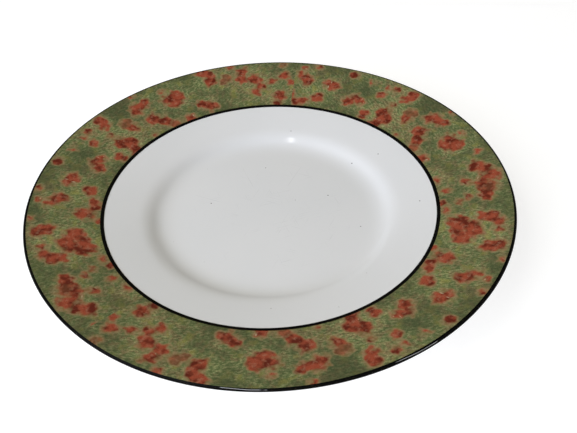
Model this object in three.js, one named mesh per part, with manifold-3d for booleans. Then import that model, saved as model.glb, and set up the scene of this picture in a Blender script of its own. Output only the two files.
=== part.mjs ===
// A wide-rimmed china dinner plate, built up in the order that a pottery makes it: a fired body, a glaze
// coat, a transfer print laid round the rim in three strips, two banded enamel lines and a mark on the base.
// Millimetres, +Z up. The origin is the centre of the foot ring's standing face, and angles run
// anticlockwise from +X, seen from above.
import * as THREE from "three";
import { mergeVertices } from "three/addons/utils/BufferGeometryUtils.js";
import Module from "manifold-3d";

// Driving dimensions
const PLATE_RADIUS = 135; // over the enamelled lip
const RIM_RISE = 0.2; // height that the rim gains for each millimetre outwards
const LIP_RADIUS = 1.1; // the lip is a half round of this radius
const WELL_RADIUS = 53.5; // where the flat floor ends
const WELL_HEIGHT = 6.4; // of the floor above the table
const SHOULDER_RADIUS = 75; // where the rim begins
const SHOULDER_HEIGHT = 12.1;
const WELL_LEAD = 14.4; // reach of the shoulder curve's handle over the floor
const SHOULDER_LEAD = 10.5; // reach of its handle under the rim
const BODY_THICKNESS = 3.8; // of the rim, outside the shoulder
const BASE_HEIGHT = 2.6; // of the underside above the table, inside the foot ring
const FOOT_RADIUS = 62; // to the middle of the standing face
const FOOT_WIDTH = 2.8; // of the standing face
const FOOT_HEIGHT = 4.6; // reach of the underside curve's handle above the foot
const UNDERSIDE_LEAD = 7; // reach of its handle below the shoulder
const FOOT_EDGE = 0.35; // size of the rounding at both edges of the standing face
const FOOT_OUTER_TAPER = 1; // that the ring widens outwards from its standing face up to the glaze
const FOOT_INNER_TAPER = 0.8; // that it widens inwards
const FOOT_LEAD = 1.5; // reach of the underside curve's handle outside the ring
const BASE_CORNER = 1.2; // from the ring's inner side to the corner that the base curves round
const BASE_CURVE = 4; // from the ring's inner side to where the base is flat
const GLAZE_END = 1.2; // height above the table where the glaze stops on the foot ring

// Coats, from the body outwards. Each lies on the last with LAYER_GAP between them.
const GLAZE_THICKNESS = 0.25;
const PRINT_THICKNESS = 0.12;
const LAYER_GAP = 0.03;

// The black lines, and the printed band between them
const LINE_RADIUS = 94.1; // to the middle of the inner line
const LINE_WIDTH = 2;
const EDGE_LINE_WIDTH = 0.4; // of the edge line on the rim's face, before it turns over the lip
const PRINT_GAP = 0.1; // beside each line, and between two strips

// The rim print is one printed strip used three times: twice whole, and once cut short to close the circle.
const STRIPS = [
  { name: "rim_print_short", from: 14, to: 80 },
  { name: "rim_print_far", from: 80, to: 226 },
  { name: "rim_print_near", from: 226, to: 374 },
];

// The mark under the base: a pierced rosette
const MARK_RADIUS = 9;
const MARK_LOBES = 8;
const MARK_LOBE_DEPTH = 1;
const MARK_EYE_RADIUS = 3; // of the piercing in the middle
const MARK_PIERCING_RADIUS = 1.1; // of the piercing in each lobe
const MARK_PIERCING_PLACE = 6; // from the middle to the centre of each lobe's piercing

const SEGMENTS = 64; // round every turned piece

const wasm = await Module();
wasm.setup();

// ---- Materials ----
const ceramic = (color, roughness) => new THREE.MeshStandardMaterial({ color, roughness, metalness: 0 });
const biscuitWare = () => ceramic(0xe9e4d8, 0.75);
const whiteGlaze = () => ceramic(0xeceeee, 0.12);
const greenPrint = () => ceramic(0x6f7a4a, 0.22);
const blackEnamel = () => ceramic(0x14140f, 0.2);
const markColour = () => ceramic(0x3f5340, 0.3);

// ---- Outlines, as points of (radius, height) ----
const point = (radius, height) => new THREE.Vector2(radius, height);

// Samples a path of lines and curves, without repeating a point where two stretches meet.
function pointsOf(path, divisions) {
  const points = path.getPoints(divisions);
  return points.filter((p, i) => i === 0 || p.distanceTo(points[i - 1]) > 1e-4);
}

// Moves an open outline sideways: to its left as it runs, or to its right if the distance is negative.
// A point on the axis stays on the axis.
function shifted(points, distance) {
  return points.map((p, i) => {
    const before = points[Math.max(i - 1, 0)];
    const after = points[Math.min(i + 1, points.length - 1)];
    const along = after.clone().sub(before).normalize();
    return point(p.x === 0 ? 0 : p.x - along.y * distance, p.y + along.x * distance);
  });
}

const footOuter = FOOT_RADIUS + FOOT_WIDTH / 2;
const footInner = FOOT_RADIUS - FOOT_WIDTH / 2;
const rimTilt = Math.atan(RIM_RISE);
const glazeRadius = PLATE_RADIUS - LAYER_GAP - PRINT_THICKNESS; // over the lip, under its enamel
const lipCentreRadius = glazeRadius - LIP_RADIUS;

// Height of the rim's glazed face at a radius.
const rimHeight = (radius) => SHOULDER_HEIGHT + (radius - SHOULDER_RADIUS) * RIM_RISE;

// The well's floor and the shoulder, from the axis out to where the rim begins.
function wellOutline() {
  const path = new THREE.Path();
  path.moveTo(0, WELL_HEIGHT);
  path.lineTo(WELL_RADIUS, WELL_HEIGHT);
  path.bezierCurveTo(
    WELL_RADIUS + WELL_LEAD, WELL_HEIGHT,
    SHOULDER_RADIUS - SHOULDER_LEAD, rimHeight(SHOULDER_RADIUS - SHOULDER_LEAD),
    SHOULDER_RADIUS, SHOULDER_HEIGHT,
  );
  return pointsOf(path, 7);
}

// The lip: a half round from the rim's face over to its underside.
function lipOutline() {
  const centreHeight = rimHeight(lipCentreRadius) - LIP_RADIUS / Math.cos(rimTilt);
  const path = new THREE.Path();
  path.absarc(
    lipCentreRadius, centreHeight, LIP_RADIUS,
    rimTilt + Math.PI / 2, rimTilt - Math.PI / 2, true,
  );
  return pointsOf(path, 3);
}

// The underside: in along the rim, then round below the shoulder and down the foot ring's outer side.
function undersideOutline() {
  const underside = (radius) => rimHeight(radius) - BODY_THICKNESS;
  const path = new THREE.Path();
  path.moveTo(SHOULDER_RADIUS, underside(SHOULDER_RADIUS));
  path.bezierCurveTo(
    SHOULDER_RADIUS - UNDERSIDE_LEAD, underside(SHOULDER_RADIUS - UNDERSIDE_LEAD),
    footOuter + FOOT_LEAD, FOOT_HEIGHT,
    footOuter + FOOT_OUTER_TAPER, GLAZE_END,
  );
  return pointsOf(path, 6);
}

// The underside inside the foot ring, from its inner side to the axis.
function baseOutline() {
  const path = new THREE.Path();
  path.moveTo(footInner - FOOT_INNER_TAPER, GLAZE_END);
  path.quadraticCurveTo(footInner - BASE_CORNER, BASE_HEIGHT, footInner - BASE_CURVE, BASE_HEIGHT);
  path.lineTo(0, BASE_HEIGHT);
  return pointsOf(path, 4);
}

// ---- Turned solids ----
// Turns an outline round the Z axis. It either starts and ends on the axis or repeats its first point.
function turned(outline) {
  const geometry = new THREE.LatheGeometry(outline, SEGMENTS);
  geometry.rotateX(Math.PI / 2);
  return geometry;
}

// The closed outline of an even coat: from clearance to clearance + thickness off a surface's outline.
function coat(surface, clearance, thickness) {
  const out = shifted(surface, clearance);
  const back = shifted(surface, clearance + thickness).reverse();
  if (surface[0].x === 0) return [...out, ...back];
  if (surface.at(-1).x === 0) return [...back, ...out];
  return [...out, ...back, out[0].clone()];
}

// ---- Solids cut with manifold-3d ----
function solidOf(geometry) {
  const bare = geometry.clone();
  bare.deleteAttribute("normal");
  bare.deleteAttribute("uv");
  const merged = mergeVertices(bare, 1e-4);
  const vertProperties = new Float32Array(merged.attributes.position.array);
  const triVerts = new Uint32Array(merged.index.array);
  return new wasm.Manifold(new wasm.Mesh({ numProp: 3, vertProperties, triVerts }));
}

function geometryOf(solid) {
  const { vertProperties, triVerts } = solid.getMesh();
  const geometry = new THREE.BufferGeometry();
  geometry.setAttribute("position", new THREE.BufferAttribute(vertProperties, 3));
  geometry.setIndex(new THREE.BufferAttribute(triVerts, 1));
  geometry.computeVertexNormals();
  return geometry;
}

// A tall slice of pie between two angles, in degrees, that reaches well past the plate.
function wedge(from, to) {
  const reach = PLATE_RADIUS * 1.5;
  const shape = new THREE.Shape();
  shape.moveTo(0, 0);
  shape.absarc(0, 0, reach, THREE.MathUtils.degToRad(from), THREE.MathUtils.degToRad(to), false);
  shape.lineTo(0, 0);
  return new THREE.ExtrudeGeometry(shape, { depth: PLATE_RADIUS, bevelEnabled: false, curveSegments: 8 });
}

// ---- The pieces ----
const face = [...wellOutline(), ...lipOutline(), ...undersideOutline()];
const base = baseOutline();

// The fired body: the glazed outlines less the glaze, joined across the bare standing face of the foot ring.
function biscuitBody() {
  const sink = -GLAZE_THICKNESS - LAYER_GAP;
  const foot = [
    point(footOuter + FOOT_EDGE, FOOT_EDGE),
    point(footOuter, 0),
    point(footInner, 0),
    point(footInner - FOOT_EDGE, FOOT_EDGE),
  ];
  return turned([...shifted(face, sink), ...foot, ...shifted(base, sink)].reverse());
}

const glazeFace = () => turned(coat(face, -GLAZE_THICKNESS, GLAZE_THICKNESS));
const glazeBase = () => turned(coat(base, -GLAZE_THICKNESS, GLAZE_THICKNESS));

// A stretch of the rim's face between two radii.
const rimStretch = (inner, outer) => [point(inner, rimHeight(inner)), point(outer, rimHeight(outer))];

const edgeLineInner = lipOutline()[0].x - EDGE_LINE_WIDTH;

function innerLine() {
  const stretch = rimStretch(LINE_RADIUS - LINE_WIDTH / 2, LINE_RADIUS + LINE_WIDTH / 2);
  return turned(coat(stretch, LAYER_GAP, PRINT_THICKNESS));
}

// The edge line starts on the rim's face and turns right round the lip.
function edgeLine() {
  const stretch = [point(edgeLineInner, rimHeight(edgeLineInner)), ...lipOutline()];
  return turned(coat(stretch, LAYER_GAP, PRINT_THICKNESS));
}

// The strips: one full band, cut where two strips meet.
function rimPrints() {
  const inner = LINE_RADIUS + LINE_WIDTH / 2 + PRINT_GAP;
  const stretch = rimStretch(inner, edgeLineInner - PRINT_GAP);
  const band = solidOf(turned(coat(stretch, LAYER_GAP, PRINT_THICKNESS)));
  const trim = THREE.MathUtils.radToDeg(PRINT_GAP / 2 / LINE_RADIUS);
  return STRIPS.map(({ name, from, to }) => ({
    name,
    geometry: geometryOf(band.intersect(solidOf(wedge(from + trim, to - trim)))),
  }));
}

// The mark: a rosette with a lobed edge, pierced once in each lobe and once in the middle.
function baseMark() {
  const stepsPerLobe = 6;
  const steps = MARK_LOBES * stepsPerLobe;
  const edge = Array.from({ length: steps }, (_, i) => {
    const angle = (i / steps) * 2 * Math.PI;
    const radius = MARK_RADIUS - MARK_LOBE_DEPTH * (1 - Math.abs(Math.cos((angle * MARK_LOBES) / 2)));
    return point(radius * Math.cos(angle), radius * Math.sin(angle));
  });
  const shape = new THREE.Shape(edge);
  const pierce = (x, y, radius) => {
    const hole = new THREE.Path();
    hole.absarc(x, y, radius, 0, 2 * Math.PI, true);
    shape.holes.push(hole);
  };
  pierce(0, 0, MARK_EYE_RADIUS);
  for (let i = 0; i < MARK_LOBES; i++) {
    const angle = (i / MARK_LOBES) * 2 * Math.PI;
    const place = point(MARK_PIERCING_PLACE * Math.cos(angle), MARK_PIERCING_PLACE * Math.sin(angle));
    pierce(place.x, place.y, MARK_PIERCING_RADIUS);
  }
  const geometry = new THREE.ExtrudeGeometry(shape, {
    depth: PRINT_THICKNESS,
    bevelEnabled: false,
    curveSegments: 5,
  });
  return geometry.translate(0, 0, BASE_HEIGHT - LAYER_GAP - PRINT_THICKNESS);
}

// ---- The plate ----
const plate = new THREE.Group();
function add(name, geometry, material) {
  const mesh = new THREE.Mesh(geometry, material);
  mesh.name = name;
  plate.add(mesh);
}
add("biscuit_body", biscuitBody(), biscuitWare());
add("glaze_face", glazeFace(), whiteGlaze());
add("glaze_base", glazeBase(), whiteGlaze());
for (const { name, geometry } of rimPrints()) add(name, geometry, greenPrint());
add("inner_line", innerLine(), blackEnamel());
add("edge_line", edgeLine(), blackEnamel());
add("base_mark", baseMark(), markColour());
export default plate;
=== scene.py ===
"""A china dinner plate: the finished surfaces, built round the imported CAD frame.

The pieces follow the outlines of the CAD part, at a much finer pitch. Only the mark under the base is the CAD
part's own mesh. The rim print is drawn by a seeded generator in the printed strip's own coordinates, so its
three strips repeat each other, as real ones do. Outlines are in millimetres and meshes in metres, +Z up.
Angles run anticlockwise from +X, seen from above.
"""

import math

import bpy
import numpy as np
from mathutils import Matrix, Vector


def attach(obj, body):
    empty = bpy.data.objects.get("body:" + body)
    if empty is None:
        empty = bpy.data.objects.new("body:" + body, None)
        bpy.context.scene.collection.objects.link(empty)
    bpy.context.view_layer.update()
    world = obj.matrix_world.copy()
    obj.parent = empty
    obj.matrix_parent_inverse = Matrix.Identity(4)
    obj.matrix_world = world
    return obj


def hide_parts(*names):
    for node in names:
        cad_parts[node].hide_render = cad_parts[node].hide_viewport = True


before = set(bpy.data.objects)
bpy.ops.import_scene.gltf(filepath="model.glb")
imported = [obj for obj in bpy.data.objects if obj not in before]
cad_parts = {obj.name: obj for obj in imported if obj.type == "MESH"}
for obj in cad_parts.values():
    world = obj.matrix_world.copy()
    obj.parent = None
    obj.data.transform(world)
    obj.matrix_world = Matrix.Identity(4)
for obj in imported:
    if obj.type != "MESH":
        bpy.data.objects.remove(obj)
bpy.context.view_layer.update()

MM = 0.001

# The plate, as the CAD part has it
PLATE_RADIUS = 135.0  # over the enamelled lip
RIM_RISE = 0.2  # height that the rim gains for each millimetre outwards
LIP_RADIUS = 1.1
WELL_RADIUS = 53.5
WELL_HEIGHT = 6.4
SHOULDER_RADIUS = 75.0
SHOULDER_HEIGHT = 12.1
WELL_LEAD = 14.4
SHOULDER_LEAD = 10.5
BODY_THICKNESS = 3.8
BASE_HEIGHT = 2.6
FOOT_RADIUS = 62.0
FOOT_WIDTH = 2.8
FOOT_EDGE = 0.35
FOOT_HEIGHT = 4.6
FOOT_OUTER_TAPER = 1.0
FOOT_INNER_TAPER = 0.8
FOOT_LEAD = 1.5
BASE_CORNER = 1.2
BASE_CURVE = 4.0
UNDERSIDE_LEAD = 7.0
GLAZE_END = 1.2
GLAZE_THICKNESS = 0.25
PRINT_THICKNESS = 0.12
LAYER_GAP = 0.03
LINE_RADIUS = 94.1
LINE_WIDTH = 2.0

# The printed strips: name, where each starts and ends in degrees, and how much of its start was cut away
STRIPS = (
    ("rim_print_short", 14.0, 80.0, 35.0),
    ("rim_print_far", 80.0, 226.0, 0.0),
    ("rim_print_near", 226.0, 374.0, 0.0),
)

TURNS = 384  # segments round a turned piece
SMOOTH_ANGLE = 40  # a corner sharper than this, in degrees, stays sharp
BEVEL_POINT = 0.1  # a second point on the straight bevel beside the standing face

# The studio floor
FLOOR_TOP = -0.2  # just under the foot ring
FLOOR_THICKNESS = 20.0
GLOW_REACH = 900.0  # where the floor's glow begins to fade
FLOOR_REACH = 2400.0  # where it begins to sweep up
SWEEP_RADIUS = 800.0
WALL_HEIGHT = 1000.0


# ---- Outlines: arrays of (radius, height) ----
def bezier(start, lead_out, lead_in, end, steps):
    """Points along a cubic curve, without its last one."""
    t = np.linspace(0, 1, steps, endpoint=False)[:, None]
    curve = [(1 - t) ** 3, 3 * (1 - t) ** 2 * t, 3 * (1 - t) * t**2, t**3]
    return sum(weight * np.array(p, float) for weight, p in zip(curve, (start, lead_out, lead_in, end)))


def arc(centre, radius, start, end, steps):
    """Points along an arc, with both ends."""
    angle = np.linspace(start, end, steps)
    return np.array(centre) + radius * np.column_stack([np.cos(angle), np.sin(angle)])


def line(start, end, steps):
    """Points along a line, without its last one."""
    return np.linspace(start, end, steps, endpoint=False)


def rim_height(radius):
    """Height of the rim's glazed face."""
    return SHOULDER_HEIGHT + (radius - SHOULDER_RADIUS) * RIM_RISE


def shifted(points, distance):
    """The outline moved sideways, to its left as it runs. A point on the axis stays on it."""
    along = np.gradient(points, axis=0)
    along /= np.linalg.norm(along, axis=1)[:, None]
    moved = points + distance * np.column_stack([-along[:, 1], along[:, 0]])
    moved[points[:, 0] == 0, 0] = 0
    return moved


FOOT_OUTER = FOOT_RADIUS + FOOT_WIDTH / 2
FOOT_INNER = FOOT_RADIUS - FOOT_WIDTH / 2
RIM_TILT = math.atan(RIM_RISE)
LIP_CENTRE = PLATE_RADIUS - LAYER_GAP - PRINT_THICKNESS - LIP_RADIUS
LIP_CENTRE_HEIGHT = rim_height(LIP_CENTRE) - LIP_RADIUS / math.cos(RIM_TILT)


def lip_outline():
    centre = (LIP_CENTRE, LIP_CENTRE_HEIGHT)
    return arc(centre, LIP_RADIUS, RIM_TILT + math.pi / 2, RIM_TILT - math.pi / 2, 17)


def face_outline():
    """From the well's centre over the rim and lip and back under to the foot ring's outer side."""
    well_edge = (WELL_RADIUS, WELL_HEIGHT)
    rim_start = (SHOULDER_RADIUS, SHOULDER_HEIGHT)
    lead_in = SHOULDER_RADIUS - SHOULDER_LEAD
    lip = lip_outline()
    under = SHOULDER_RADIUS - UNDERSIDE_LEAD
    under_start = (SHOULDER_RADIUS, SHOULDER_HEIGHT - BODY_THICKNESS)
    glaze_end = (FOOT_OUTER + FOOT_OUTER_TAPER, GLAZE_END)
    return np.vstack(
        [
            line((0, WELL_HEIGHT), well_edge, 12),
            bezier(
                well_edge,
                (WELL_RADIUS + WELL_LEAD, WELL_HEIGHT),
                (lead_in, rim_height(lead_in)),
                rim_start,
                30,
            ),
            line(rim_start, lip[0], 12),
            lip,
            line(lip[-1], under_start, 12)[1:],
            bezier(
                under_start,
                (under, rim_height(under) - BODY_THICKNESS),
                (FOOT_OUTER + FOOT_LEAD, FOOT_HEIGHT),
                glaze_end,
                20,
            ),
            [glaze_end],
        ]
    )


def base_outline():
    """The underside inside the foot ring, from the ring's inner side to the axis."""
    start = (FOOT_INNER - FOOT_INNER_TAPER, GLAZE_END)
    corner = (FOOT_INNER - BASE_CORNER, BASE_HEIGHT)
    flat = (FOOT_INNER - BASE_CURVE, BASE_HEIGHT)
    centre = (0, BASE_HEIGHT)
    return np.vstack([bezier(start, corner, corner, flat, 12), line(flat, centre, 8), [centre]])


# ---- Meshes ----
def mesh_object(name, vertices, faces):
    """A mesh in metres from vertices in millimetres, smooth except at its sharp corners."""
    mesh = bpy.data.meshes.new(name)
    mesh.from_pydata((np.asarray(vertices) * MM).tolist(), [], faces)
    mesh.shade_smooth()
    mesh.set_sharp_from_angle(angle=math.radians(SMOOTH_ANGLE))
    mesh.validate()
    piece = bpy.data.objects.new(name, mesh)
    bpy.context.scene.collection.objects.link(piece)
    return piece


def points_of(piece):
    """The piece's vertices, in millimetres."""
    return np.array([v.co for v in piece.data.vertices]) / MM


def write_values(piece, name, values):
    """Stores a number for each vertex, for the material to read."""
    piece.data.attributes.new(name, "FLOAT", "POINT").data.foreach_set("value", values)


def around(radius, height, angle):
    """Points at a radius and height round the Z axis."""
    return np.stack(np.broadcast_arrays(radius * np.cos(angle), radius * np.sin(angle), height), axis=-1)


def turned(name, outline_at, turns=TURNS):
    """A closed solid turned round Z. outline_at gives the outline at an angle, each with the same points.

    The outline runs anticlockwise, with radius to the right and height up. It starts and ends on the axis, or
    it closes on itself without repeating its first point.
    """
    angles = np.arange(turns) * 2 * math.pi / turns
    outlines = np.array([outline_at(a) for a in angles])
    on_axis = outlines[0, 0, 0] == 0
    first, last = outlines[0, 0], outlines[0, -1]
    rings = outlines[:, 1:-1] if on_axis else outlines
    count = rings.shape[1]
    points = around(rings[..., 0], rings[..., 1], angles[:, None]).reshape(-1, 3)
    step = np.arange(count - 1 if on_axis else count)
    faces = []
    for i in range(turns):
        here, there = i * count, (i + 1) % turns * count
        faces += [(here + j, there + j, there + (j + 1) % count, here + (j + 1) % count) for j in step]
    if on_axis:
        points = np.vstack([points, [(0, 0, first[1]), (0, 0, last[1])]])
        low, high = len(points) - 2, len(points) - 1
        for i in range(turns):
            here, there = i * count, (i + 1) % turns * count
            faces += [(low, there, here), (high, here + count - 1, there + count - 1)]
    return mesh_object(name, points, faces)


def coat(surface, clearance, thickness):
    """The closed outline of an even coat: from clearance to clearance + thickness off a surface's outline."""
    out = shifted(surface, clearance)
    back = shifted(surface, clearance + thickness)[::-1]
    if surface[-1, 0] == 0:
        return np.vstack([back, out])
    return np.vstack([out, back])


# ---- The drawing on the rim: clusters of dabs over a mottled ground, in the strip's own coordinates ----
PRINT_CLEARANCE = 0.02  # between the print and each line
PRINT_INNER = LINE_RADIUS + LINE_WIDTH / 2 + PRINT_CLEARANCE
PRINT_OUTER = PLATE_RADIUS - LIP_RADIUS
PRINT_SPAN = math.radians(148)  # the longest strip
PRINT_CUTS = (0, 35, 101, 146, 148)  # where one strip or another is cut, in degrees along the drawing
PRINT_SEED = 12
# Clusters, the largest first: how many, the fewest and most dabs in each, the least and greatest dab size
CLUSTERS = (
    (2, 7, 9, 2.8, 5.6),
    (3, 4, 6, 2.6, 5.4),
    (9, 2, 3, 2.6, 5.0),
    (13, 1, 2, 1.9, 4.2),
    (24, 1, 1, 0.9, 2.2),
)
CLUSTER_TRIES = 300  # places tried for each kind of cluster
CLUSTER_GAP = (0.9, 4.6)  # range of the gap to a dab of another cluster, drawn afresh for each pair
CUT_GAP = 0.7  # least distance from a dab's middle to a cut, as a share of its size
DAB_BLEND = 0.8  # how softly the lobes of a dab run together
WOBBLE_BROAD = 0.8  # how far the dabs' outlines are pushed about, in wide waves
WOBBLE_FINE = 0.08  # and in short ones
CROWD_REACH = 9.0  # about how far a dab counts as near
CROWD_FULL = 7.0  # the sizes of the near dabs together, in a cluster
FLECKS = 14
FLECK_HALF_WIDTH = 0.3


def dab_lobes(random, x, y, size):
    """The overlapping lobes of one dab: rows of x, y, half length, half width, turn, squareness and tone."""
    heading = random.uniform(0, math.pi)
    tone = random.uniform(0, 1)
    rows = []
    for _ in range(random.integers(3, 6)):
        away = size * random.uniform(0.05, 0.5)
        side = heading + random.normal(0, 0.9) + math.pi * random.integers(0, 2)
        half_length = size * random.uniform(0.5, 0.84)
        half_width = half_length * random.uniform(0.6, 1.0)
        turn = random.uniform(0, math.pi)
        squareness = random.uniform(1.8, 2.5)
        place_x, place_y = x + away * math.cos(side), y + away * math.sin(side)
        rows.append((place_x, place_y, half_length, half_width, turn, squareness, tone))
    return rows


def dab_chain(random, dabs, least, greatest):
    """One cluster: rows of x, y and size along a wandering path."""
    radius = random.uniform(PRINT_INNER, PRINT_OUTER)
    angle = random.uniform(0, PRINT_SPAN)
    x, y = radius * math.cos(angle), radius * math.sin(angle)
    heading = random.uniform(0, 2 * math.pi)
    chain = []
    for _ in range(dabs):
        size = random.uniform(least, greatest)
        if chain:
            step = (size + chain[-1][2]) * random.uniform(0.6, 0.92)
            heading += random.uniform(-1.9, 1.9)
            x, y = x + step * math.cos(heading), y + step * math.sin(heading)
        chain.append((x, y, size))
    return chain


def has_room(random, chain, placed):
    """Whether a cluster lies on the strip, clear of its cuts, and keeps its distance from the dabs there."""
    for x, y, size in chain:
        radius, angle = math.hypot(x, y), math.atan2(y, x)
        if not PRINT_INNER - 1 < radius < PRINT_OUTER + 1:
            return False
        if any(abs(angle - math.radians(cut)) * radius < CUT_GAP * size for cut in PRINT_CUTS):
            return False
        for other_x, other_y, other_size in placed:
            if math.hypot(x - other_x, y - other_y) < size + other_size + random.uniform(*CLUSTER_GAP):
                return False
    return True


def draw_dabs(random):
    """Places each kind of cluster where there is room; gives the dabs and all their lobes."""
    placed, lobes = [], []
    for count, fewest, most, least, greatest in CLUSTERS:
        for _ in range(CLUSTER_TRIES):
            chain = dab_chain(random, random.integers(fewest, most + 1), least, greatest)
            if count and has_room(random, chain, placed):
                count -= 1
                placed += chain
                for x, y, size in chain:
                    lobes += dab_lobes(random, x, y, size)
    return placed, lobes


def ripples(random, count, shortest, longest):
    """Plane waves in all directions: rows of wave vector x, y and phase."""
    pace = 2 * math.pi / random.uniform(shortest, longest, count)
    way = random.uniform(0, 2 * math.pi, count)
    return np.column_stack([pace * np.cos(way), pace * np.sin(way), random.uniform(0, 2 * math.pi, count)])


def ripple_sum(waves, x, y):
    return sum(np.sin(a * x + b * y + phase) for a, b, phase in waves) / math.sqrt(len(waves))


class Drawing:
    """The strip's drawing. Every strip reads the same one, so their drawings repeat."""

    def __init__(self, seed):
        random = np.random.default_rng(seed)
        self.dabs, self.lobes = draw_dabs(random)
        self.broad = [ripples(random, 7, 4, 9) for _ in "xy"]
        self.fine = [ripples(random, 9, 1.6, 3) for _ in "xy"]
        self.flecks = self.draw_flecks(random)

    def draw_flecks(self, random):
        """Small pale strokes at the sides of some dabs: rows of x, y, half length and turn."""
        rows = []
        for pick in random.choice(len(self.dabs), FLECKS, replace=False):
            x, y, size = self.dabs[pick]
            side = random.uniform(0, 2 * math.pi)
            away = size * random.uniform(0.85, 1.1)
            half_length = random.uniform(0.35, 1.1)
            rows.append((x + away * math.cos(side), y + away * math.sin(side), half_length, side + 1.2))
        return rows

    def wobbled(self, x, y):
        push_x, push_y = (
            WOBBLE_BROAD * ripple_sum(broad, x, y) + WOBBLE_FINE * ripple_sum(fine, x, y)
            for broad, fine in zip(self.broad, self.fine)
        )
        return x + push_x, y + push_y

    def dab_and_tone(self, x, y):
        """Distance to the dabs' edges, negative inside them, and the tone of the dabs near by."""
        x, y = self.wobbled(x, y)
        total = np.full(x.shape, 1e-9)
        toned = np.zeros(x.shape)
        for lobe_x, lobe_y, length, width, turn, squareness, tone in self.lobes:
            near = np.hypot(x - lobe_x, y - lobe_y) < length + 5
            dx, dy = x[near] - lobe_x, y[near] - lobe_y
            along = np.abs(dx * math.cos(turn) + dy * math.sin(turn)) / length
            across = np.abs(dy * math.cos(turn) - dx * math.sin(turn)) / width
            reach = (along**squareness + across**squareness) ** (1 / squareness)
            weight = np.exp((1 - reach) * width / DAB_BLEND)
            total[near] += weight
            toned[near] += weight * tone
        return -DAB_BLEND * np.log(total), toned / total

    def fleck(self, x, y):
        """Distance to the nearest fleck's edge."""
        nearest = np.full(x.shape, 9.0)
        for fleck_x, fleck_y, length, turn in self.flecks:
            dx, dy = x - fleck_x, y - fleck_y
            along = (dx * math.cos(turn) + dy * math.sin(turn)) / length
            across = (dy * math.cos(turn) - dx * math.sin(turn)) / FLECK_HALF_WIDTH
            nearest = np.minimum(nearest, (np.hypot(along, across) - 1) * FLECK_HALF_WIDTH)
        return nearest

    def crowd(self, x, y):
        """How many dabs are near: 0 in a quiet stretch, about 1 in a cluster."""
        total = 0
        for dab_x, dab_y, size in self.dabs:
            away = (x - dab_x) ** 2 + (y - dab_y) ** 2
            total = total + size * np.exp(-away / CROWD_REACH**2)
        return total / CROWD_FULL


# ---- The pieces ----
face = face_outline()
base = base_outline()


def make_body():
    sink = -GLAZE_THICKNESS - LAYER_GAP
    foot = [
        (FOOT_OUTER + FOOT_EDGE, FOOT_EDGE),
        (FOOT_OUTER + BEVEL_POINT, BEVEL_POINT),
        (FOOT_OUTER, 0),
        (FOOT_INNER, 0),
        (FOOT_INNER - BEVEL_POINT, BEVEL_POINT),
        (FOOT_INNER - FOOT_EDGE, FOOT_EDGE),
    ]
    outline = np.vstack([shifted(face, sink), foot, shifted(base, sink)])[::-1]
    return turned("fired_body", lambda angle: outline)


def make_glaze(name, surface):
    outline = coat(surface, -GLAZE_THICKNESS, GLAZE_THICKNESS)
    return turned(name, lambda angle: outline)


def rim_stretch(inner, outer, steps):
    end = (outer, rim_height(outer))
    return np.vstack([line((inner, rim_height(inner)), end, steps), [end]])


def make_inner_line():
    stretch = rim_stretch(LINE_RADIUS - LINE_WIDTH / 2, LINE_RADIUS + LINE_WIDTH / 2, 4)
    outline = coat(stretch, LAYER_GAP, PRINT_THICKNESS)
    return turned("inner_line", lambda angle: outline)


LIP_START = lip_outline()[0][0]
FLAT_REACH = (LIP_START - PRINT_INNER) / math.cos(RIM_TILT)  # along the face, from the print to the lip's arc
LIP_REACH = FLAT_REACH + math.pi * LIP_RADIUS


def over_rim(reach, lift):
    """Radius and height, a lift off the face, at a reach out along it from the print's inner edge."""
    turn = np.maximum(reach - FLAT_REACH, 0) / LIP_RADIUS
    tilt = RIM_TILT - turn
    flat = np.minimum(reach, FLAT_REACH)
    out, up = math.cos(RIM_TILT), math.sin(RIM_TILT)
    radius = PRINT_INNER + flat * out + LIP_RADIUS * (up - np.sin(tilt))
    height = rim_height(PRINT_INNER) + flat * up - LIP_RADIUS * (out - np.cos(tilt))
    return radius - lift * np.sin(tilt), height + lift * np.cos(tilt)


# Stretches of the edge line where a glint is painted along the lip: middle and half length, in degrees
EDGE_GLINTS = ((263, 5), (298, 6), (37, 5), (141, 8))
EDGE_OVERLAP = 0.1  # of the edge line on the rim's face, before the thinning and the waver
THIN_BY = 0.75  # how much narrower the edge line is at its thinnest
THIN_AT = math.radians(255)
THIN_FOCUS = 6  # the higher, the shorter the thin stretch


def edge_line_start(angle):
    """Reach where the edge line begins, at an angle. A hand-banded line isn't even."""
    thin = THIN_BY * np.exp(THIN_FOCUS * (np.cos(angle - THIN_AT) - 1))
    waver = 0.1 * np.cos(5 * angle) + 0.03 * np.sin(11 * angle)
    return FLAT_REACH - EDGE_OVERLAP + thin + waver


def make_edge_line():
    def outline_at(angle):
        reach = np.linspace(edge_line_start(angle), LIP_REACH, 20)
        under = np.column_stack(over_rim(reach, LAYER_GAP))
        over = np.column_stack(over_rim(reach, LAYER_GAP + PRINT_THICKNESS))
        return np.vstack([under, over[::-1]])

    return turned("edge_line", outline_at)


def add_glint_places(piece):
    """Writes how far round the lip each point is, in millimetres, and how strongly the painted glint shows
    there.
    """
    x, y, height = points_of(piece).T
    turn = np.arctan2(np.hypot(x, y) - LIP_CENTRE, height - LIP_CENTRE_HEIGHT)
    write_values(piece, "round_lip", turn * LIP_RADIUS)
    angle = np.degrees(np.arctan2(y, x))
    away = [np.abs((angle - middle + 180) % 360 - 180) / half for middle, half in EDGE_GLINTS]
    write_values(piece, "glint_share", np.clip(1.5 - np.min(away, axis=0), 0, 1))


PRINT_PITCH = 0.5  # of the strips' mesh
STRIP_TRIM = 0.01  # taken off each end of a strip, measured at the inner line


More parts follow.
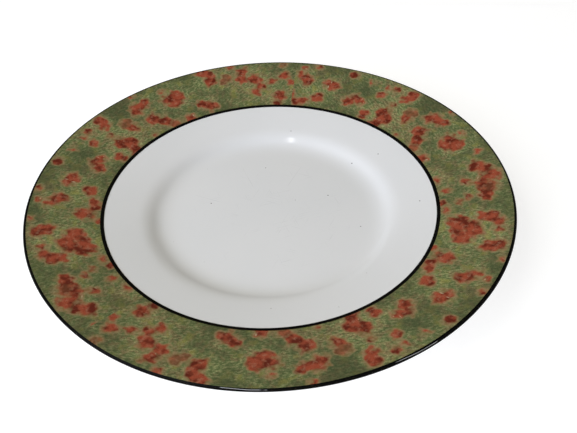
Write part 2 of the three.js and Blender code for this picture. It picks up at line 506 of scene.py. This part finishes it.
def add_drawing(piece, drawing, turned_back):
    """Writes the drawing into the mesh: where each point is on the strip, and what is drawn there."""
    points = points_of(piece)
    cos, sin = math.cos(turned_back), math.sin(turned_back)
    x = points[:, 0] * cos + points[:, 1] * sin
    y = points[:, 1] * cos - points[:, 0] * sin
    dab, tone = drawing.dab_and_tone(x, y)
    write_values(piece, "dab", dab)
    write_values(piece, "tone", tone)
    write_values(piece, "fleck", drawing.fleck(x, y))
    write_values(piece, "crowd", drawing.crowd(x, y))
    place = np.column_stack([x, y, np.zeros_like(x)]).ravel()
    piece.data.attributes.new("strip", "FLOAT_VECTOR", "POINT").data.foreach_set("vector", place)


def make_strip(name, start, end):
    """One strip of the rim print: a thin plate on the rim's face, fine enough on top to hold the drawing."""
    steps = round(math.radians(end - start) * PLATE_RADIUS / PRINT_PITCH)
    gap = STRIP_TRIM / LINE_RADIUS
    angles = np.linspace(math.radians(start) + gap, math.radians(end) - gap, steps + 1)
    rows = round(FLAT_REACH / PRINT_PITCH)
    reach = (edge_line_start(angles)[:, None] - PRINT_CLEARANCE) * np.linspace(0, 1, rows + 1)
    top = around(*over_rim(reach, LAYER_GAP + PRINT_THICKNESS), angles[:, None])
    floor_points = around(*over_rim(reach[:, [0, -1]], LAYER_GAP), angles[:, None])
    width = rows + 1
    faces = []
    under = (steps + 1) * width
    for i in range(steps):
        a, b = i * width, (i + 1) * width
        faces += [(a + j, a + j + 1, b + j + 1, b + j) for j in range(rows)]
        c, d = under + 2 * i, under + 2 * (i + 1)
        faces += [(c, d, d + 1, c + 1), (a, b, d, c), (b + rows, a + rows, c + 1, d + 1)]
    faces.append((*range(under + 1, under - 1, -1), *range(width)))
    faces.append((*range(under - 1, under - width - 1, -1), under + 2 * steps, under + 2 * steps + 1))
    return mesh_object(name, np.vstack([top.reshape(-1, 3), floor_points.reshape(-1, 3)]), faces)


# ---- Materials ----
class Surface:
    """A material's node tree, with a short call for each kind of node that the plate's surfaces use."""

    def __init__(self, name):
        self.material = bpy.data.materials.new(name)
        self.material.use_nodes = True
        self.tree = self.material.node_tree
        self.shader = self.tree.nodes["Principled BSDF"]

    def feed(self, socket, value):
        """Links an output to a socket, or sets its value. A colour may leave out its alpha."""
        if isinstance(value, bpy.types.NodeSocket):
            self.tree.links.new(value, socket)
        elif socket.type == "RGBA":
            socket.default_value = (*value[:3], 1)
        else:
            socket.default_value = value

    def add(self, kind, inputs, **settings):
        node = self.tree.nodes.new("ShaderNode" + kind)
        for name, value in settings.items():
            setattr(node, name, value)
        for socket, value in inputs.items():
            self.feed(node.inputs[socket], value)
        return node

    def attribute(self, name, output="Fac"):
        return self.add("Attribute", {}, attribute_name=name).outputs[output]

    def place_mm(self):
        """The point's place in the plate's frame, in millimetres."""
        place = self.add("TexCoord", {}).outputs["Object"]
        return self.stretched(place, (MM, MM, MM))

    def from_axis(self, at):
        """Distance from the Z axis, in millimetres."""
        level = self.add("VectorMath", {0: at, 1: (1, 1, 0)}, operation="MULTIPLY").outputs["Vector"]
        return self.add("VectorMath", {0: level}, operation="LENGTH").outputs["Value"]

    def stretched(self, vector, size, turn=0.0):
        """The vector in units of size along axes turned about Z. Noise of it is stretched that way."""
        inputs = {"Vector": vector, "Rotation": (0, 0, turn), "Scale": size}
        return self.add("Mapping", inputs, vector_type="TEXTURE").outputs["Vector"]

    def noise(self, vector, size, detail=2.0):
        """Noise from 0 to 1, mostly 0.3 to 0.7, with features of about this size in millimetres."""
        inputs = {"Vector": vector, "Scale": 1 / size, "Detail": detail}
        return self.add("TexNoise", inputs).outputs["Fac"]

    def math(self, operation, first, second=0.0):
        return self.add("Math", {0: first, 1: second}, operation=operation).outputs[0]

    def ramp(self, value, start, end, low=0.0, high=1.0):
        """A smooth step from low at start to high at end."""
        inputs = {"Value": value, "From Min": start, "From Max": end, "To Min": low, "To Max": high}
        return self.add("MapRange", inputs, interpolation_type="SMOOTHSTEP").outputs["Result"]

    def mix(self, share, first, second):
        return self.add("Mix", {0: share, 6: first, 7: second}, data_type="RGBA").outputs[2]

    def bump(self, height, depth):
        """Relief of the given depth in millimetres where height goes from 0 to 1."""
        return self.add("Bump", {"Height": height, "Distance": depth * MM}).outputs["Normal"]

    def finish(self, colour, roughness, normal):
        self.feed(self.shader.inputs["Base Color"], colour)
        self.feed(self.shader.inputs["Roughness"], roughness)
        self.feed(self.shader.inputs["Normal"], normal)
        return self.material


def white_glaze():
    """Slightly uneven white glaze, with a few dark specks all over and faint marks of cutlery in the well."""
    s = Surface("white_glaze")
    at = s.place_mm()
    colour = s.mix(s.ramp(s.noise(at, 60), 0.35, 0.65), (0.735, 0.738, 0.735), (0.75, 0.75, 0.745))
    cutlery = knife_marks(s, at)
    colour = s.mix(s.math("MULTIPLY", cutlery, 0.16), colour, (0.3, 0.3, 0.31))
    colour = s.mix(specks(s, at), colour, (0.1, 0.09, 0.08))
    polish = s.ramp(s.noise(at, 9, 4), 0.3, 0.7, 0.04, 0.09)
    roughness = s.math("ADD", polish, s.math("MULTIPLY", cutlery, 0.1))
    ripple = s.math("ADD", s.noise(at, 14, 1), s.math("MULTIPLY", s.noise(at, 2.2), 0.1))
    return s.finish(colour, roughness, s.bump(ripple, 0.03))


def specks(s, at):
    """One dark speck in some of the cells of a loose net."""
    cell = 17.0
    net = s.add("TexVoronoi", {"Vector": at, "Scale": 1 / cell}, voronoi_dimensions="2D")
    red = s.add("SeparateColor", {"Color": net.outputs["Color"]}).outputs["Red"]
    radius = s.ramp(red, 0.62, 1.0, -0.1, 0.36)
    return s.ramp(s.math("SUBTRACT", s.math("MULTIPLY", net.outputs["Distance"], cell), radius), 0.06, -0.06)


def knife_marks(s, at):
    """Thin faint lines in several directions, broken up, in the well only."""
    total = 0.0
    for turn in (0.3, 1.1, 1.9, 2.7):
        streak = s.noise(s.stretched(at, (20, 0.6, 1), turn), 1.0)
        total = s.math("ADD", s.ramp(streak, 0.66, 0.74), total)
    broken = s.math("MULTIPLY", total, s.ramp(s.noise(at, 11, 3), 0.45, 0.62))
    return s.math("MULTIPLY", broken, s.ramp(s.from_axis(at), WELL_RADIUS + 2, WELL_RADIUS - 14))


def bare_clay():
    """Fired clay without glaze: fine grain, and grey scuffs from standing on things."""
    s = Surface("bare_clay")
    at = s.place_mm()
    grain = s.noise(at, 0.35, 3)
    colour = s.mix(s.ramp(grain, 0.35, 0.65), (0.62, 0.57, 0.48), (0.76, 0.72, 0.64))
    colour = s.mix(s.ramp(s.noise(at, 6, 4), 0.5, 0.7, 0, 0.55), colour, (0.36, 0.33, 0.29))
    return s.finish(colour, s.ramp(grain, 0.3, 0.7, 0.65, 0.95), s.bump(grain, 0.05))


def black_enamel():
    """Black banding enamel, a little thin and brown in places, with a painted glint in fine pale lines along
    the lip.
    """
    s = Surface("black_enamel")
    at = s.place_mm()
    thin = s.ramp(s.noise(at, 1.1, 4), 0.56, 0.72)
    colour = s.mix(thin, (0.0032, 0.0032, 0.0028), (0.015, 0.012, 0.008))
    # Painted glint: pale grey mixed into the black along the lip's crest, standing in for a reflection.
    painted_glint = painted_glint_line(s, at)
    colour = s.mix(painted_glint, colour, (0.6, 0.6, 0.58))
    s.shader.inputs["Specular IOR Level"].default_value = 0.02
    roughness = s.ramp(s.noise(at, 2.5, 3), 0.3, 0.7, 0.1, 0.22)
    relief = s.math("SUBTRACT", s.noise(at, 1.6, 2), painted_glint)
    return s.finish(colour, roughness, s.bump(relief, 0.02))


def painted_glint_line(s, at):
    """A painted glint: a fine pale wandering line along the lip's crest, only in the glint stretches and
    broken up there.
    """
    wander = s.ramp(s.noise(at, 14, 1), 0.3, 0.7, 0.7, 1.0)
    off_line = s.math("ABSOLUTE", s.math("SUBTRACT", s.attribute("round_lip"), wander))
    glint_stretch = s.math("SUBTRACT", s.attribute("glint_share"), s.noise(at, 5, 3))
    return s.math("MULTIPLY", s.ramp(off_line, 0.12, 0.03), s.ramp(glint_stretch, 0.1, 0.3, 0, 0.8))


def rim_print():
    """Rust-red dabs with soft tan borders over a mottled olive ground, all in fine printed grain."""
    s = Surface("rim_print")
    at = s.attribute("strip", "Vector")
    grain = s.noise(at, 0.5, 3)
    ragged = s.math("MULTIPLY", s.math("SUBTRACT", s.noise(at, 2.0, 4), 0.5), 1.3)
    edge = s.math("ADD", s.attribute("dab"), ragged)
    border = s.mix(s.ramp(s.noise(at, 1.7, 3), 0.4, 0.6), (0.21, 0.165, 0.065), (0.31, 0.215, 0.105))
    colour = s.mix(s.ramp(edge, 1.9, 0.3, 0, 0.85), print_ground(s, at, grain), border)
    strength = s.ramp(s.attribute("tone"), 0.04, 0.12, 0.7, 1)
    inside = s.math("MULTIPLY", s.ramp(edge, 0.95, -1.1), strength)
    colour = s.mix(inside, colour, print_dabs(s, at, grain))
    fleck = s.math("ADD", s.attribute("fleck"), ragged)
    colour = s.mix(s.ramp(fleck, 0.2, -0.3, 0, 0.85), colour, (0.5, 0.4, 0.24))
    roughness = s.ramp(s.noise(at, 3, 3), 0.3, 0.7, 0.16, 0.26)
    relief = s.math("ADD", s.math("MULTIPLY", inside, 0.5), s.noise(at, 5, 2))
    return s.finish(colour, roughness, s.bump(relief, 0.02))


STROKE_TURN = 2.34  # direction of the ground's strokes, in radians: along +X on the near strip


def print_ground(s, at, grain):
    """Olive green: lighter and yellower by the dabs, deep green in the quiet stretches."""
    warmth = s.math("ADD", s.noise(at, 3.4, 3), s.math("MULTIPLY", s.noise(at, 19, 1), 0.5))
    colour = s.mix(s.ramp(warmth, 0.68, 0.9), (0.17, 0.215, 0.08), (0.27, 0.2, 0.093))
    strokes = s.noise(s.stretched(at, (2.0, 1.2, 1), STROKE_TURN), 1.0, 3)
    colour = s.mix(s.ramp(strokes, 0.47, 0.68, 0, 0.75), colour, (0.44, 0.42, 0.19))
    colour = s.mix(s.ramp(strokes, 0.5, 0.34, 0, 0.6), colour, (0.06, 0.085, 0.03))
    colour = s.mix(s.ramp(s.noise(at, 6, 4), 0.5, 0.72, 0, 0.75), colour, (0.32, 0.3, 0.07))
    near = s.math("ADD", s.noise(at, 8, 2), s.math("MULTIPLY", s.attribute("crowd"), 0.25))
    clouds = s.math("ADD", near, s.math("MULTIPLY", s.noise(at, 30, 1), 1.8))
    colour = s.mix(s.ramp(clouds, 1.98, 1.1, 0, 0.76), colour, (0.047, 0.06, 0.026))
    return s.mix(s.ramp(grain, 0.55, 0.33, 0, 0.6), colour, (0.04, 0.05, 0.02))


def print_dabs(s, at, grain):
    """Rust red, with darker patches and lighter worn ones."""
    patches = s.math("ADD", s.noise(at, 4.5, 2), s.math("MULTIPLY", s.attribute("tone"), 0.16))
    colour = s.mix(s.ramp(patches, 0.42, 0.7), (0.115, 0.014, 0.006), (0.33, 0.065, 0.031))
    colour = s.mix(s.ramp(s.noise(at, 2.8, 2), 0.5, 0.72, 0, 0.55), colour, (0.4, 0.18, 0.105))
    return s.mix(s.ramp(grain, 0.5, 0.34, 0, 0.5), colour, (0.075, 0.012, 0.005))


def mark_print():
    """Dark green ink, thin in places."""
    s = Surface("mark_print")
    at = s.place_mm()
    thin = s.ramp(s.noise(at, 0.5, 3), 0.5, 0.62)
    colour = s.mix(thin, (0.035, 0.075, 0.04), (0.12, 0.19, 0.12))
    return s.finish(colour, s.ramp(s.noise(at, 2), 0.3, 0.7, 0.2, 0.35), s.bump(thin, 0.01))


def floor_paint():
    """Plain pale floor with a glow that keeps it near white round the plate and fades towards the wall."""
    s = Surface("floor")
    at = s.place_mm()
    colour = s.mix(s.noise(at, 40, 3), (0.44, 0.44, 0.44), (0.46, 0.46, 0.46))
    s.shader.inputs["Emission Color"].default_value = (1, 1, 1, 1)
    glow = s.ramp(s.from_axis(at), GLOW_REACH, FLOOR_REACH + 300, 0.68, 0.36)
    s.feed(s.shader.inputs["Emission Strength"], glow)
    return s.finish(colour, s.ramp(s.noise(at, 25, 3), 0.3, 0.7, 0.6, 0.75), s.bump(s.noise(at, 3), 0.01))


def place(piece, material, slot, *nodes):
    """Gives a piece its material and its place in the frame."""
    piece.data.materials.append(material)
    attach(piece, "root")
    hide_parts(*nodes)


glaze = white_glaze()
enamel = black_enamel()
printed = rim_print()
drawing = Drawing(PRINT_SEED)

place(make_body(), bare_clay(), "biscuit", "biscuit_body")
place(make_glaze("glaze_face_coat", face), glaze, "white_glaze", "glaze_face")
place(make_glaze("glaze_base_coat", base), glaze, "white_glaze", "glaze_base")
place(make_inner_line(), enamel, "black_enamel", "inner_line")
edge_line = make_edge_line()
add_glint_places(edge_line)
place(edge_line, enamel, "black_enamel", "edge_line")
for strip_name, strip_start, strip_end, strip_cut in STRIPS:
    strip = make_strip(strip_name, strip_start, strip_end)
    add_drawing(strip, drawing, math.radians(strip_start - strip_cut))
    place(strip, printed, "rim_print", strip_name)
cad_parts["base_mark"].data.materials.clear()
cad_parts["base_mark"].data.materials.append(mark_print())


# ---- The set ----
LINE_HEIGHT = rim_height(LINE_RADIUS)
CAMERA_DISTANCE = 467.2  # from the plate's axis, at the inner line's height
CAMERA_ELEVATION = 40.97  # in degrees
CAMERA_AIM = (9.67, -13.83)  # at the inner line's height
CAMERA_ROLL = -1.956  # in degrees
CAMERA_LENS = 51.58


def make_camera():
    camera = bpy.data.objects.new("camera", bpy.data.cameras.new("camera"))
    bpy.context.scene.collection.objects.link(camera)
    elevation = math.radians(CAMERA_ELEVATION)
    away = Vector((0, -math.cos(elevation), math.sin(elevation))) * CAMERA_DISTANCE
    location = Vector((0, 0, LINE_HEIGHT)) + away
    aim = Vector((*CAMERA_AIM, LINE_HEIGHT))
    roll = Matrix.Rotation(math.radians(CAMERA_ROLL), 3, "Z")
    look = (aim - location).to_track_quat("-Z", "Y").to_matrix() @ roll
    camera.matrix_world = Matrix.LocRotScale(location * MM, look.to_quaternion(), None)
    camera.data.lens = CAMERA_LENS
    bpy.context.scene.camera = camera


def make_floor():
    """A round floor that sweeps up into a low wall, so that no view looks past its edge."""
    sweep = arc((FLOOR_REACH, FLOOR_TOP + SWEEP_RADIUS), SWEEP_RADIUS, 0, -math.pi / 2, 13)
    wall = FLOOR_REACH + SWEEP_RADIUS
    outside, under = wall + FLOOR_THICKNESS, FLOOR_TOP - FLOOR_THICKNESS
    back = [(0, under), (outside, under), (outside, WALL_HEIGHT), (wall, WALL_HEIGHT)]
    outline = np.vstack([back, sweep, [(0, FLOOR_TOP)]])
    floor = turned("floor", lambda angle: outline, turns=96)
    floor.data.materials.append(floor_paint())


def add_light(name, azimuth, elevation, distance, size, power, colour):
    """An area light that faces the plate, in metres, watts and degrees. Azimuth 0 is along +X."""
    data = bpy.data.lights.new(name, "AREA")
    data.shape = "RECTANGLE"
    data.size, data.size_y = size
    data.energy = power
    data.color = colour
    light = bpy.data.objects.new(name, data)
    a, e = math.radians(azimuth), math.radians(elevation)
    toward = Vector((math.cos(a) * math.cos(e), math.sin(a) * math.cos(e), math.sin(e)))
    light.location = toward * distance
    light.rotation_mode = "QUATERNION"
    light.rotation_quaternion = toward.to_track_quat("Z", "Y")
    bpy.context.scene.collection.objects.link(light)


def make_world(colour, strength):
    world = bpy.data.worlds.new("world")
    world.use_nodes = True
    background = world.node_tree.nodes["Background"]
    background.inputs["Color"].default_value = (*colour, 1)
    background.inputs["Strength"].default_value = strength
    bpy.context.scene.world = world


make_camera()
make_floor()
make_world((1.0, 0.87, 0.6), 0.15)
add_light("softbox", 210, 45, 1.6, (1.6, 1.6), 29.6, (0.99, 1.0, 0.98))
add_light("window", 228, 22, 1.6, (2.0, 0.8), 10.4, (0.38, 0.53, 1.0))
add_light("lamp", 168.5, 81.4, 1.2, (0.06, 0.045), 0.15, (1.0, 1.0, 1.0))
add_light("side_card", 345, 32, 1.2, (0.8, 0.06), 0.6, (1.0, 1.0, 1.0))
bpy.context.scene.view_settings.view_transform = "Standard"
